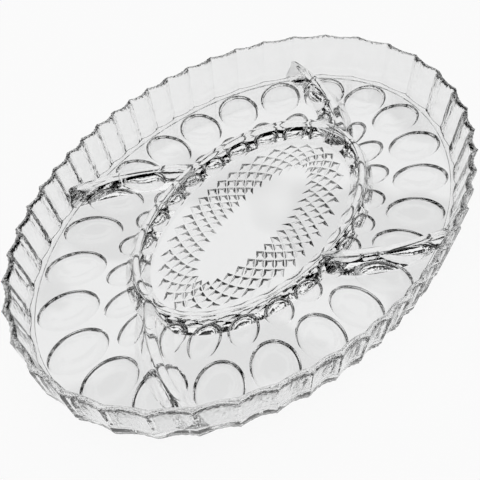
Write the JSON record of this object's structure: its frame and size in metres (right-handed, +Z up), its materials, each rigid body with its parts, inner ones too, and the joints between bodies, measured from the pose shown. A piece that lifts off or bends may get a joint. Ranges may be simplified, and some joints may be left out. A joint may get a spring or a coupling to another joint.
{
  "type": "relish tray",
  "caption": "Oval relish tray of clear pressed glass with a fluted rim, a centre compartment and curved side compartments over a thumbprint underside.",
  "frame": {"origin": "middle of the tray on the plane that its foot stands on", "axes": "+X along the long axis of the oval, +Y across it, +Z up from the table"},
  "size_m": [0.32, 0.22, 0.029],
  "materials": {
    "glass": "gloss"
  },
  "bodies": {
    "root": {"foot_rim": "glass", "outer_floor": "glass", "centre_floor": "glass", "centre_wall": "glass", "rib_right": "glass", "rib_rear": "glass", "rib_left": "glass", "rib_front": "glass", "wall_right_rear": "glass", "wall_left_rear": "glass", "wall_left_front": "glass", "wall_right_front": "glass"}
  },
  "joints": []
}
